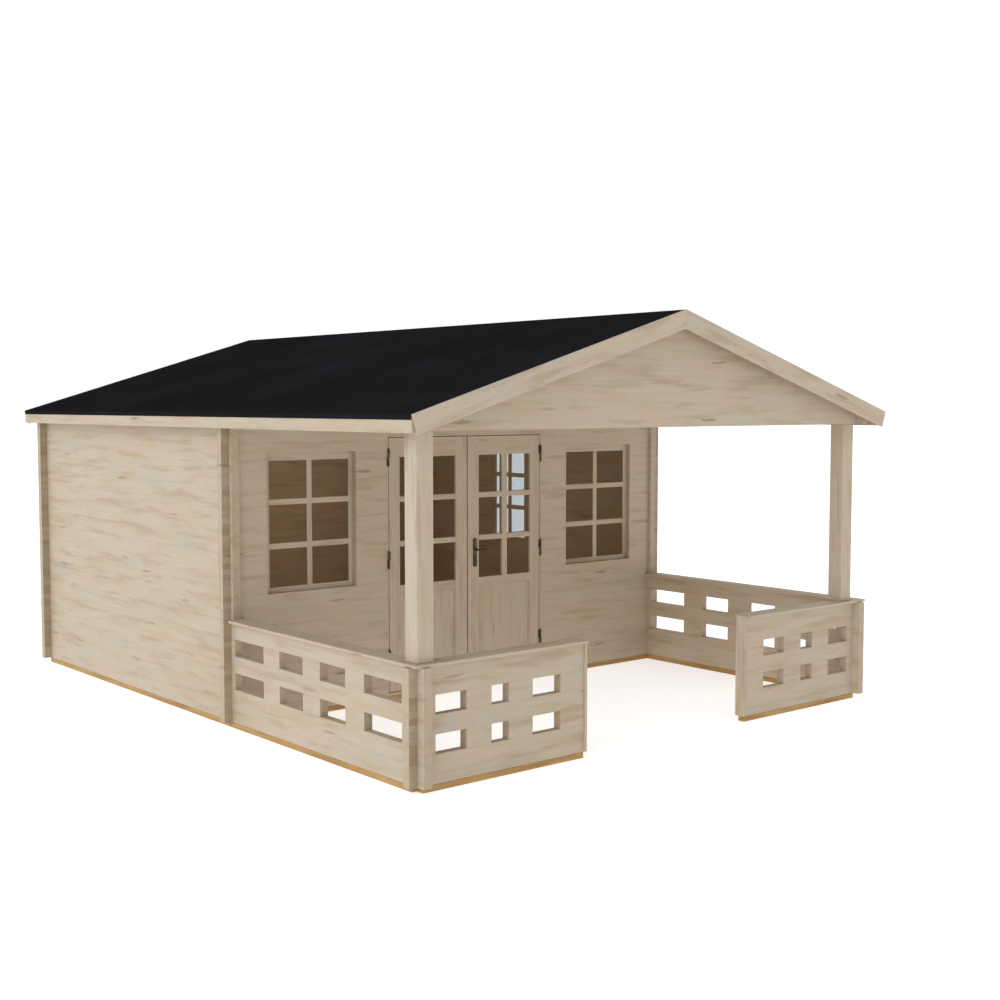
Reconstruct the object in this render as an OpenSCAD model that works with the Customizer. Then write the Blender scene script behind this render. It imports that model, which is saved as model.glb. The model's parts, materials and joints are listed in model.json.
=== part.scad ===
// Log cabin with a covered porch, gable roof and double doors.
// The porch looks along -Y, +X is to the right and +Z is up. Every size is in millimetres.

/* [Plan] */
// Width over the outer faces of the side walls
cabin_w = 4080; // [3400:10:5000]
// Depth of the porch, from the front railing's face to the front wall's face
porch_d = 2116; // [1700:2:2700]
// Depth of the room, over the outer faces of the front and rear walls
room_d = 3190; // [2600:10:4200]

/* [Logs] */
// Height that one log adds to a wall
log_h = 114; // [92:2:138]
// Thickness of a log
log_t = 58; // [44:1:80]
// Log courses of a side wall, where the last half is half a log
wall_courses = 18.5; // [18.5:1:21.5]
// How far logs run past a corner
stub = 60; // [20:5:120]
// How far the side walls run past the front wall above the railing
porch_stub = 28; // [10:2:60]
// Strip cut off the underside of the porch's top logs
plate_trim = 12; // [0:1:25]
// Depth of the groove between two logs
groove = 1; // [1:0.5:6]

/* [Base] */
// Height of the foundation beams
beam_h = 40; // [30:5:80]
// How far the front beams stay short of the outer faces
beam_inset = 35; // [10:5:60]
// Width of a floor joist
joist_w = 45; // [40:1:60]
// Number of floor joists
joist_count = 6; // [4:1:9]
// Thickness of the floor boards
floor_t = 19; // [16:1:28]

/* [Railing] */
// Log courses of a railing
rail_courses = 6; // [6:1:7]
// Length of a front railing, from the outer face to its end board
rail_l = 1277; // [1200:1:1400]
// Thickness of the board on a railing's end
end_board_t = 20; // [15:1:30]
// Width of the board on a railing's end
end_board_w = 80; // [74:2:110]
// Thickness of the railing cap
cap_t = 18; // [14:1:30]
// How far the cap overhangs the railing's faces
cap_over = 40; // [20:2:50]
// Width of the wide holes in a front railing
front_hole_w = 224; // [180:2:240]
// Width of the middle hole in a front railing
front_mid_hole_w = 132; // [100:2:150]
// Width of the blocks between the holes of a front railing
front_block_w = 188; // [150:2:200]
// Distance from the outer face to the first hole of a front railing
front_first_block = 126; // [110:2:140]
// Width of the outer holes in a side railing
side_hole_w = 380; // [300:2:400]
// Width of the middle holes in a side railing
side_mid_hole_w = 281; // [200:2:300]
// Width of the blocks between the holes of a side railing
side_block_w = 200; // [150:2:220]
// Distance from the railing's front face to the first hole of a side railing
side_first_block = 151; // [130:2:170]

/* [Posts] */
// Width and depth of a porch post
post_w = 116; // [90:2:140]
// How far the right post stands in from the right railing's outer face
right_post_inset = 90; // [0:5:120]

/* [Roof] */
// Pitch of the roof in degrees
roof_pitch = 16.9; // [12:0.1:24]
// Overhang of the eaves past the side walls
eave_over = 120; // [90:5:300]
// Overhang of the roof past the front railing's face
front_over = 132; // [100:2:300]
// Overhang of the roof past the rear wall
rear_over = 124; // [100:2:300]
// Thickness of the roof boards
roof_board_t = 20; // [16:1:28]
// Clearance between the roof boards and the logs that carry them
roof_gap = 0.2; // [0.1:0.1:1]
// Thickness of the roof felt with its overlaps
felt_t = 6; // [4:1:10]
// Depth of the felt's lip over the eave
felt_lip = 30; // [20:1:40]
// Depth of the barge boards
barge_h = 117; // [90:1:150]
// Thickness of the barge boards and the fascia boards
trim_t = 18; // [14:1:25]
// Depth of the fascia boards
fascia_h = 98; // [80:1:120]
// Height of the ridge beam and the purlins
purlin_h = 85; // [60:5:90]
// Width of the ridge beam and the purlins
purlin_w = 58; // [44:1:80]
// Distance of the purlins from the ridge
purlin_x = 1020; // [800:10:1300]

/* [Windows] */
// Width of a front window
window_w = 731; // [500:1:800]
// Height of the windows
window_h = 972; // [800:2:1000]
// Height of the windows' sill above the ground
window_z = 886; // [800:2:950]
// Distance from the outer face to a front window
window_x = 286; // [200:2:300]
// Width of the window in the right side wall
side_window_w = 510; // [400:10:700]
// Distance from the front wall's face to the side window's middle
side_window_y = 1849; // [1200:1:2200]
// Width of the windows' frame
window_frame_w = 38; // [30:1:50]
// Width of the top member of the windows' frame
window_head_w = 54; // [30:1:70]
// How far the windows' frame is set back from the outer face
window_recess = 38; // [10:1:42]
// Thickness of the glass
glass_t = 4; // [3:1:6]

/* [Door] */
// Width of the doorway in the wall
door_w = 1502; // [1400:2:1800]
// Height of the doorway's head above the ground
door_z = 1968; // [1900:2:1990]
// Visible width of the door frame
jamb_w = 13; // [10:1:20]
// How far the frame's stop reaches behind the leaves
stop_w = 51; // [40:1:60]
// Height of the threshold
sill_h = 22; // [15:1:40]
// Thickness of a leaf
leaf_t = 40; // [35:1:42]
// Clearance round a leaf
leaf_gap = 5; // [5:0.5:8]
// Width of a leaf's stile at the hinges
hinge_stile_w = 97; // [80:1:120]
// Width of a leaf's stile at the meeting edge
lock_stile_w = 108; // [90:1:130]
// Height of a leaf's top rail
top_rail_h = 145; // [100:1:180]
// Height of a leaf's bottom rail
bottom_rail_h = 150; // [100:5:220]
// Height of a leaf's middle rail
middle_rail_h = 61; // [50:1:100]
// Height of the glass opening of a leaf
leaf_glass_h = 949; // [900:1:1000]
// Depth of the recess of a leaf's panel on each face
panel_recess = 12; // [8:1:14]

/* [Hinges] */
// Height of a hinge
hinge_h = 120; // [90:2:150]
// Radius of a hinge's barrel
barrel_r = 7; // [6:0.5:9]
// Radius of a hinge's pin
pin_r = 4; // [3:0.5:5]
// Running clearance round a hinge's pin
pin_gap = 0.05; // [0.02:0.01:0.1]
// Distance of the hinge axis in front of the wall
hinge_out = 9; // [8.5:0.5:11]
// Thickness of a hinge's plates
hinge_plate_t = 3; // [2:0.5:4]
// Width of a hinge's plate on the leaf
hinge_plate_w = 8; // [6:1:40]
// Heights of the hinges' middles above the ground
hinge_z = [320, 1050, 1805];

/* [Handle] */
// Height of the lever above the ground
handle_z = 1075; // [950:5:1150]
// Height of the handle's plates
plate_h = 225; // [180:5:260]
// Width of the handle's plates
plate_w = 40; // [30:1:50]
// Thickness of the handle's plates
plate_t = 5; // [3:1:8]
// Length of the lever
lever_l = 115; // [90:5:140]
// Distance of the lever's middle from its plate
lever_out = 45; // [35:1:60]
// Radius of the lever
lever_r = 8; // [6:1:10]

/* [Hidden] */
$fn = 48;

half_w = cabin_w / 2;
half_log = log_h / 2;
quarter_log = log_h / 4;
wall_top = beam_h + wall_courses * log_h;
rail_top = beam_h + rail_courses * log_h;
cap_top = rail_top + cap_t;
plate_bottom = wall_top - log_h + plate_trim;

front_y = porch_d;
front_in_y = front_y + log_t;
back_y = front_y + room_d;
back_in_y = back_y - log_t;

roof_front_y = -front_over;
roof_back_y = back_y + rear_over;
middle_y = (roof_front_y + roof_back_y) / 2;
boards_front_y = roof_front_y + trim_t;
boards_back_y = roof_back_y - trim_t;

slope = tan(roof_pitch);
roof_half_w = half_w + eave_over;
lip_t = 3;
board_half_w = roof_half_w - lip_t - trim_t;
board_rise = roof_board_t / cos(roof_pitch);
roof_rise = (roof_board_t + felt_t) / cos(roof_pitch);
tall = 2 * wall_top;

door_half = door_w / 2;
leaf_half = door_half - jamb_w - leaf_gap;
leaf_z = beam_h + sill_h + leaf_gap;
leaf_top = door_z - jamb_w - leaf_gap;
leaf_glass_top = leaf_top - top_rail_h;
leaf_glass_z = leaf_glass_top - leaf_glass_h;
panel_top = leaf_glass_z - middle_rail_h;
panel_z = leaf_z + bottom_rail_h;
hinge_x = door_half - jamb_w + 4;
hinge_y = front_y - hinge_out;
knuckle_h = (hinge_h - 1) / 2;
side_window_mid = front_y + side_window_y;
window_glass_h = window_h - window_frame_w - window_head_w;

wood = [0.79, 0.71, 0.60];
beam_wood = [0.66, 0.48, 0.26];
felt = [0.10, 0.10, 0.11];
clear = [0.30, 0.25, 0.20, 0.5];
bronze = [0.33, 0.36, 0.22];

// Height of the roof boards' underside, x from the middle
function under_z(x) = wall_top + (half_w - abs(x)) * slope;

// An outline's points on the other side of the middle, in the other order
function mirrored(points) = [for (i = [len(points) - 1:-1:0]) [-points[i][0], points[i][1]]];

// Both faces of a stack of logs, with a groove at every joint
function joints(z0, z1, first) =
    [for (k = [0:ceil((z1 - z0) / log_h)]) let (z = first + k * log_h)
        if (z > z0 + groove && z < z1 - groove) z];
function outer_face(z0, z1, first) = concat(
    [[0, z0]],
    [for (z = joints(z0, z1, first)) each [[0, z - groove], [groove, z], [0, z + groove]]],
    [[0, z1]]);
function inner_face(z0, z1, first) =
    [for (i = [len(outer_face(z0, z1, first)) - 1:-1:0])
        let (p = outer_face(z0, z1, first)[i]) [log_t - p[0], p[1]]];
module log_profile(z0, z1, first) {
    polygon(concat(outer_face(z0, z1, first), inner_face(z0, z1, first)));
}

// Logs along Y: their joints lie whole logs above the foundation beams
module side_logs(x, y0, y1, z0, z1) {
    first = beam_h + log_h * ceil((z0 - beam_h) / log_h);
    translate([x, y1, 0]) rotate([90, 0, 0]) linear_extrude(y1 - y0) log_profile(z0, z1, first);
}
// Logs along X: they start with half a log, so that corners interlock
module cross_logs(y, x0, x1, z0, z1) {
    half = beam_h - half_log;
    first = half + log_h * ceil((z0 - half) / log_h);
    translate([x0, y, 0]) rotate([90, 0, 90]) linear_extrude(x1 - x0) log_profile(z0, z1, first);
}

// The parts of a corner that the logs along Y pass through, and those of the logs along X
module side_bands(x, y) {
    for (z = [beam_h + quarter_log:log_h:wall_top + log_h])
        translate([x, y, z]) cube([log_t, log_t, half_log]);
}
module cross_bands(x, y) {
    for (z = [beam_h - quarter_log:log_h:wall_top + log_h])
        translate([x, y, z]) cube([log_t, log_t, half_log]);
}

// Everything below the roof boards
module under_roof() {
    translate([0, roof_back_y, 0]) rotate([90, 0, 0]) linear_extrude(roof_back_y - roof_front_y)
        polygon([[-roof_half_w, 0], [-roof_half_w, under_z(roof_half_w) - roof_gap],
            [0, under_z(0) - roof_gap], [roof_half_w, under_z(roof_half_w) - roof_gap],
            [roof_half_w, 0]]);
}
module block(x0, x1, y0, y1, z0, z1) {
    translate([x0, y0, z0]) cube([x1 - x0, y1 - y0, z1 - z0]);
}
module both_sides() {
    children();
    mirror([1, 0, 0]) children();
}
// Puts a module's plan into the part's frame, whose origin is under the roof's middle
module placed() {
    translate([0, -middle_y, 0]) children();
}

// Foundation beams
module side_beams() {
    color(beam_wood) placed() both_sides()
        block(-half_w, -half_w + log_t, log_t, back_y - beam_inset, 0, beam_h);
}
module cross_beams() {
    color(beam_wood) placed() for (y = [front_y, back_in_y - beam_inset])
        block(-half_w + log_t, half_w - log_t, y, y + log_t, 0, beam_h);
}
module front_beams() {
    color(beam_wood) placed() both_sides()
        block(-half_w + beam_inset, -half_w + rail_l, 0, log_t, 0, beam_h);
}

// Floor of the room
module floor_joists() {
    first = -half_w + 2 * log_t;
    step = (cabin_w - 4 * log_t - joist_w) / (joist_count - 1);
    color(beam_wood) placed() for (k = [0:joist_count - 1])
        block(first + k * step, first + k * step + joist_w, front_in_y, back_in_y - beam_inset,
            0, beam_h);
}
module floor_boards() {
    color(wood) placed()
        block(-half_w + log_t, half_w - log_t, front_in_y, back_in_y, beam_h, beam_h + floor_t);
}

// Side walls, cut away above the railing where only their stub shows in the porch
module side_wall() {
    difference() {
        intersection() {
            side_logs(-half_w, front_y - porch_stub, back_y + stub, beam_h, under_z(half_w - log_t));
            under_roof();
        }
        block(-half_w - 1, -half_w + log_t + 1, 0, front_y, 0, cap_top);
        for (y = [front_y, back_in_y]) cross_bands(-half_w, y);
    }
}
module left_wall() {
    color(wood) placed() side_wall();
}
module right_wall() {
    color(wood) placed() difference() {
        mirror([1, 0, 0]) side_wall();
        block(half_w - log_t - 1, half_w + 1, side_window_mid - side_window_w / 2,
            side_window_mid + side_window_w / 2, window_z, window_z + window_h);
    }
}

// Walls along X
module cross_wall(y, x0, x1, z0, z1) {
    difference() {
        intersection() {
            cross_logs(y, x0, x1, z0, z1);
            under_roof();
        }
        for (x = [-half_w, half_w - log_t]) side_bands(x, y);
    }
}
module rear_wall() {
    color(wood) placed() cross_wall(back_in_y, -half_w - stub, half_w + stub, beam_h, wall_top);
}
module half_front_wall() {
    difference() {
        cross_wall(front_y, -half_w - stub, -door_half, beam_h, wall_top);
        block(-half_w + window_x, -half_w + window_x + window_w, front_y - 1, front_in_y + 1,
            window_z, window_z + window_h);
    }
}
module front_wall_left() {
    color(wood) placed() half_front_wall();
}
module front_wall_right() {
    color(wood) placed() mirror([1, 0, 0]) half_front_wall();
}
module front_wall_top() {
    color(wood) placed() cross_logs(front_y, -door_half, door_half, door_z, wall_top);
}

// Gables, with pockets for the ridge beam and the purlins
module purlin_bars() {
    for (x = [-purlin_x, 0, purlin_x]) {
        top = under_z(abs(x) + purlin_w / 2);
        intersection() {
            block(x - purlin_w / 2, x + purlin_w / 2, boards_front_y, boards_back_y,
                top - purlin_h, tall);
            under_roof();
        }
    }
}
module gable(y) {
    difference() {
        intersection() {
            cross_logs(y, -half_w + log_t, half_w - log_t, wall_top, tall);
            under_roof();
        }
        purlin_bars();
    }
}
module rear_gable() {
    color(wood) placed() gable(back_in_y);
}
module middle_gable() {
    color(wood) placed() gable(front_y);
}
module porch_gable() {
    color(wood) placed() difference() {
        union() {
            gable(0);
            cross_wall(0, -half_w - stub, half_w + stub, plate_bottom, wall_top);
        }
        purlin_bars();
    }
}

// Top logs along the sides of the porch
module side_plate() {
    difference() {
        intersection() {
            side_logs(-half_w, -stub, front_y - porch_stub, plate_bottom,
                under_z(half_w - log_t));
            under_roof();
        }
        cross_bands(-half_w, 0);
    }
}
module left_plate() {
    color(wood) placed() side_plate();
}
module right_plate() {
    color(wood) placed() mirror([1, 0, 0]) side_plate();
}

// Railings of logs: two courses are blocks with square holes between them
module side_railing() {
    mid_start = side_first_block + side_hole_w + side_block_w;
    last_start = mid_start + 2 * (side_mid_hole_w + side_block_w);
    holes = [[side_first_block, side_hole_w], [mid_start, side_mid_hole_w],
        [mid_start + side_mid_hole_w + side_block_w, side_mid_hole_w], [last_start, side_hole_w]];
    difference() {
        side_logs(-half_w, -stub, front_y, beam_h, rail_top);
        for (hole = holes, course = [2, 4])
            block(-half_w - 1, -half_w + log_t + 1, hole[0], hole[0] + hole[1],
                beam_h + course * log_h, beam_h + (course + 1) * log_h);
        cross_bands(-half_w, 0);
    }
}
module left_railing() {
    color(wood) placed() side_railing();
}
module right_railing() {
    color(wood) placed() mirror([1, 0, 0]) side_railing();
}
module front_railing() {
    mid_start = front_first_block + front_hole_w + front_block_w;
    last_start = mid_start + front_mid_hole_w + front_block_w;
    holes = [[front_first_block, front_hole_w], [mid_start, front_mid_hole_w],
        [last_start, front_hole_w]];
    difference() {
        cross_logs(0, -half_w - stub, -half_w + rail_l, beam_h, rail_top);
        for (hole = holes, course = [1.5, 3.5])
            block(-half_w + hole[0], -half_w + hole[0] + hole[1], -1, log_t + 1,
                beam_h + course * log_h, beam_h + (course + 1) * log_h);
        side_bands(-half_w, 0);
    }
}
module front_left_railing() {
    color(wood) placed() front_railing();
}
module front_right_railing() {
    color(wood) placed() mirror([1, 0, 0]) front_railing();
}
module rail_cap() {
    inner_x = -half_w + log_t + cap_over;
    block(-half_w - cap_over, inner_x, -cap_over, front_y - porch_stub, rail_top, cap_top);
    block(-half_w, inner_x, front_y - porch_stub, front_y, rail_top, cap_top);
    block(inner_x, -half_w + rail_l, -cap_over, log_t + cap_over, rail_top, cap_top);
}
module left_rail_cap() {
    color(wood) placed() rail_cap();
}
module right_rail_cap() {
    color(wood) placed() mirror([1, 0, 0]) rail_cap();
}
module rail_end_boards() {
    side = (end_board_w - log_t) / 2;
    color(wood) placed() both_sides()
        block(-half_w + rail_l, -half_w + rail_l + end_board_t, -side, log_t + side, beam_h,
            cap_top);
}

// Posts stand on the railing's corners and carry the porch gable
module left_post() {
    color(wood) placed() block(-half_w, -half_w + post_w, 0, post_w, cap_top, plate_bottom);
}
module right_post() {
    color(wood) placed()
        block(half_w - right_post_inset - post_w, half_w - right_post_inset, 0, post_w, cap_top,
            plate_bottom);
}

// Roof
module purlins() {
    color(wood) placed() purlin_bars();
}
module left_roof() {
    translate([0, boards_back_y, 0]) rotate([90, 0, 0])
        linear_extrude(boards_back_y - boards_front_y)
            polygon([[-board_half_w, under_z(board_half_w)], [0, under_z(0)],
                [0, under_z(0) + board_rise], [-board_half_w, under_z(board_half_w) + board_rise]]);
}
module left_roof_boards() {
    color(wood) placed() left_roof();
}
module right_roof_boards() {
    color(wood) placed() mirror([1, 0, 0]) left_roof();
}
module roof_felt() {
    edge_top = under_z(roof_half_w) + roof_rise;
    left_edge = [[-roof_half_w, edge_top], [-roof_half_w, edge_top - felt_lip],
        [-roof_half_w + lip_t, edge_top - felt_lip],
        [-roof_half_w + lip_t, under_z(roof_half_w - lip_t) + board_rise]];
    color(felt) placed() translate([0, boards_back_y, 0]) rotate([90, 0, 0])
        linear_extrude(boards_back_y - boards_front_y)
            polygon(concat([[0, under_z(0) + roof_rise]], left_edge,
                [[0, under_z(0) + board_rise]], mirrored(left_edge)));
}
module eave_fascias() {
    outer = roof_half_w - lip_t;
    color(wood) placed() both_sides()
        translate([0, boards_back_y, 0]) rotate([90, 0, 0])
            linear_extrude(boards_back_y - boards_front_y)
                polygon([[-outer, under_z(outer) + board_rise - fascia_h],
                    [-board_half_w, under_z(outer) + board_rise - fascia_h],
                    [-board_half_w, under_z(board_half_w) + board_rise],
                    [-outer, under_z(outer) + board_rise]]);
}
module barge_boards(y) {
    peak = under_z(0) + roof_rise;
    eave = under_z(roof_half_w) + roof_rise;
    left_end = [[-roof_half_w, eave],
        [-roof_half_w + barge_h * sin(roof_pitch), eave - barge_h * cos(roof_pitch)]];
    color(wood) placed() translate([0, y + trim_t, 0]) rotate([90, 0, 0]) linear_extrude(trim_t)
        polygon(concat([[0, peak]], left_end, [[0, peak - barge_h / cos(roof_pitch)]],
            mirrored(left_end)));
}
module front_barge_boards() {
    barge_boards(roof_front_y);
}
module rear_barge_boards() {
    barge_boards(boards_back_y);
}

// Windows: a frame in the wall's opening, set back from the outer face, with one sheet of glass
module window_ring(width, depth) {
    difference() {
        cube([width, depth, window_h]);
        translate([window_frame_w, -1, window_frame_w])
            cube([width - 2 * window_frame_w, depth + 2, window_glass_h]);
    }
}
module window_sheet(width, depth) {
    translate([window_frame_w, (depth - glass_t) / 2, window_frame_w])
        cube([width - 2 * window_frame_w, glass_t, window_glass_h]);
}
module at_left_window() {
    translate([-half_w + window_x, front_y + window_recess, window_z]) children();
}
module at_side_window() {
    translate([half_w - window_recess, side_window_mid - side_window_w / 2, window_z])
        rotate([0, 0, 90]) children();
}
module left_window_frame() {
    color(wood) placed() at_left_window() window_ring(window_w, log_t - window_recess);
}
module right_window_frame() {
    color(wood) placed() mirror([1, 0, 0]) at_left_window()
        window_ring(window_w, log_t - window_recess);
}
module side_window_frame() {
    color(wood) placed() at_side_window() window_ring(side_window_w, log_t - window_recess);
}
module window_glass() {
    color(clear) placed() {
        both_sides() at_left_window() window_sheet(window_w, log_t - window_recess);
        at_side_window() window_sheet(side_window_w, log_t - window_recess);
    }
}

// Door frame: a thin jamb in front and a stop behind the leaves
module door_frame() {
    stop_y = front_y + leaf_t + leaf_gap;
    color(wood) placed() difference() {
        block(-door_half, door_half, front_y, front_in_y, beam_h, door_z);
        block(-door_half + jamb_w, door_half - jamb_w, front_y - 1, stop_y, beam_h + sill_h,
            door_z - jamb_w);
        block(-door_half + stop_w, door_half - stop_w, front_y - 1, front_in_y + 1,
            beam_h + sill_h, door_z - stop_w);
    }
}
module leaf() {
    x0 = -leaf_half;
    glass_x0 = x0 + hinge_stile_w;
    glass_x1 = -leaf_gap - lock_stile_w;
    back = front_y + leaf_t;
    difference() {
        block(x0, -leaf_gap, front_y, back, leaf_z, leaf_top);
        block(glass_x0, glass_x1, front_y - 1, back + 1, leaf_glass_z, leaf_glass_top);
        block(glass_x0, glass_x1, front_y - 1, front_y + panel_recess, panel_z, panel_top);
        block(glass_x0, glass_x1, back - panel_recess, back + 1, panel_z, panel_top);
    }
}
module leaf_glass() {
    middle = front_y + leaf_t / 2;
    block(-leaf_half + hinge_stile_w, -leaf_gap - lock_stile_w, middle - glass_t / 2,
        middle + glass_t / 2, leaf_glass_z, leaf_glass_top);
}
module left_leaf() {
    color(wood) placed() leaf();
}
module right_leaf() {
    color(wood) placed() mirror([1, 0, 0]) leaf();
}
module left_leaf_glass() {
    color(clear) placed() leaf_glass();
}
module right_leaf_glass() {
    color(clear) placed() mirror([1, 0, 0]) leaf_glass();
}

// Lift-off hinges: the pin and the lower barrel are on the frame, the upper barrel on the leaf
module frame_hinge(z) {
    translate([-hinge_x, hinge_y, z]) cylinder(h = knuckle_h, r = barrel_r);
    translate([-hinge_x, hinge_y, z]) cylinder(h = hinge_h - 6, r = pin_r);
    block(-door_half, -hinge_x, front_y - hinge_plate_t, front_y, z, z + knuckle_h);
}
module leaf_hinge(z) {
    upper = z + hinge_h - knuckle_h;
    difference() {
        union() {
            translate([-hinge_x, hinge_y, upper]) cylinder(h = knuckle_h, r = barrel_r);
            block(-hinge_x, -leaf_half + hinge_plate_w, front_y - 2 * hinge_plate_t,
                front_y - hinge_plate_t, upper, upper + knuckle_h);
            block(-leaf_half, -leaf_half + hinge_plate_w, front_y - hinge_plate_t, front_y,
                upper, upper + knuckle_h);
        }
        translate([-hinge_x, hinge_y, upper - 1]) cylinder(h = knuckle_h - 3, r = pin_r + pin_gap);
    }
}
module frame_hinges() {
    color(bronze) placed() both_sides() for (z = hinge_z) frame_hinge(z - hinge_h / 2);
}
module left_leaf_hinges() {
    color(bronze) placed() for (z = hinge_z) leaf_hinge(z - hinge_h / 2);
}
module right_leaf_hinges() {
    color(bronze) placed() mirror([1, 0, 0]) for (z = hinge_z) leaf_hinge(z - hinge_h / 2);
}

// Lever handle with long plates on both faces of the right leaf
module handle_side() {
    block(-plate_w / 2, plate_w / 2, -plate_t, 0, -0.6 * plate_h, 0.4 * plate_h);
    rotate([90, 0, 0]) cylinder(h = lever_out, r = lever_r);
    translate([-lever_r, -lever_out, 0]) rotate([0, 90, 0]) cylinder(h = lever_l, r = lever_r);
}
module door_handle() {
    x = leaf_gap + lock_stile_w * 0.62;
    color(bronze) placed() {
        translate([x, front_y, handle_z]) handle_side();
        translate([x, front_y + leaf_t, handle_z]) mirror([0, 1, 0]) handle_side();
    }
}

side_beams();
cross_beams();
front_beams();
floor_joists();
floor_boards();
left_wall();
right_wall();
rear_wall();
front_wall_left();
front_wall_right();
front_wall_top();
rear_gable();
middle_gable();
porch_gable();
left_plate();
right_plate();
left_railing();
right_railing();
front_left_railing();
front_right_railing();
left_rail_cap();
right_rail_cap();
rail_end_boards();
left_post();
right_post();
purlins();
left_roof_boards();
right_roof_boards();
roof_felt();
eave_fascias();
front_barge_boards();
rear_barge_boards();
left_window_frame();
right_window_frame();
side_window_frame();
window_glass();
door_frame();
left_leaf();
right_leaf();
left_leaf_glass();
right_leaf_glass();
frame_hinges();
left_leaf_hinges();
right_leaf_hinges();
door_handle();
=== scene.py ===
"""The looks of a log cabin with a covered porch: timber, joinery, ironwork, roof felt and light."""

import json
import math

import bmesh
import bpy
from mathutils import Matrix, Vector


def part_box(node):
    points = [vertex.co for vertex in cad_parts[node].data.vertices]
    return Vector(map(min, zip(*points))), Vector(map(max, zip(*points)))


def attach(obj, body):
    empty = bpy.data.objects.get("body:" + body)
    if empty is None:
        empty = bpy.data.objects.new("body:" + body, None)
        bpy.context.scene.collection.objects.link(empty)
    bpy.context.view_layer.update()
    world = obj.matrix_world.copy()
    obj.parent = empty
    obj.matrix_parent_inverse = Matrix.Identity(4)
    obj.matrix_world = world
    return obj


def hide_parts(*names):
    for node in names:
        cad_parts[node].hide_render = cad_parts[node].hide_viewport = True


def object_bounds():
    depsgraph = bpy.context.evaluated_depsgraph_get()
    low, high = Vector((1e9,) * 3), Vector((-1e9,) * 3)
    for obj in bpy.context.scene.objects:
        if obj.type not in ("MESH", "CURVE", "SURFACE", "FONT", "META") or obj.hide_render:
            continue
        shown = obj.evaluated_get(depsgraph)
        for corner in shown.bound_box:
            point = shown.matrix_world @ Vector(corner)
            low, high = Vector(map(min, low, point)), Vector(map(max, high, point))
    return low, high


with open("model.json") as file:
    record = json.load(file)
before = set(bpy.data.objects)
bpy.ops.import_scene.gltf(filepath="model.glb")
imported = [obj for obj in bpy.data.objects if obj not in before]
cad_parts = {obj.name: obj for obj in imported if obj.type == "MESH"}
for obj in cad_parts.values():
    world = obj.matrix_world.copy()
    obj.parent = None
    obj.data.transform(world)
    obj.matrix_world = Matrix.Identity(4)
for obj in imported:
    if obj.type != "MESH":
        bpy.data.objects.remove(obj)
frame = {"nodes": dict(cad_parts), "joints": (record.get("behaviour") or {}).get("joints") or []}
CAD_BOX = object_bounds()
NODES = frame["nodes"]

# Sizes in metres, beside those that come from the frame
LOG_H = 0.114
HALF_LOG = LOG_H / 2
LAMELLA = LOG_H / 3
PITCH = math.radians(16.9)
EDGE = 0.003
SHARP_EDGE = 0.0015
WINDOW_BAR = 0.041
WINDOW_BAR_DEPTH = 0.016
LEAF_POST = 0.052
LEAF_BAR = 0.042
LEAF_BAR_DEPTH = 0.036
FLOOR_BOARD = 0.090
ROOF_BOARD = 0.096
FELT_SHEETS = 3
FELT = 0.003
JOINT_GAP = 0.0006
CAP_W = 0.138
CAP_OVER = 0.040
WALL_STUB = 0.028
SCREW_PROUD = 0.0008
SMALL_SCREW = 0.0035
HINGE_SLIT = 0.001
LEAF_EDGE = 0.0025
RAIL_BACK = 0.0004
BAR_BACK = 0.0005
WINDOW_RAIL_BACK = 0.0008
LOG_ENDS_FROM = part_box("right_wall")[1].x

# Colours of the timber, in linear light
PALE = (0.510, 0.424, 0.318)
PINKISH = (0.520, 0.398, 0.298)
GREYISH = (0.470, 0.408, 0.312)
HONEY = (0.480, 0.372, 0.225)
TAN = (0.370, 0.262, 0.158)
END_GRAIN = (0.400, 0.315, 0.220)
# A dark brown for the painted shade on the sides of the log ends that stand out past the corners
PAINTED_STUB_SHADE = (0.270, 0.180, 0.095)
HEARTWOOD = (0.205, 0.120, 0.060)


# ---------------------------------------------------------------- materials

class Value:
    """A number, vector or colour that varies over a surface, as an output of a node."""

    def __init__(self, paint, socket):
        self.paint = paint
        self.socket = socket

    def math(self, operation, *values):
        return self.paint.node("ShaderNodeMath", {"operation": operation}, dict(enumerate(values)))

    def __add__(self, other):
        return self.math("ADD", self, other)

    def __sub__(self, other):
        return self.math("SUBTRACT", self, other)

    def __rsub__(self, other):
        return self.math("SUBTRACT", other, self)

    def __mul__(self, other):
        return self.math("MULTIPLY", self, other)

    def __truediv__(self, other):
        return self.math("DIVIDE", self, other)

    __radd__ = __add__
    __rmul__ = __mul__

    def floor(self):
        return self.math("FLOOR", self)

    def size(self):
        return self.math("ABSOLUTE", self)


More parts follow.
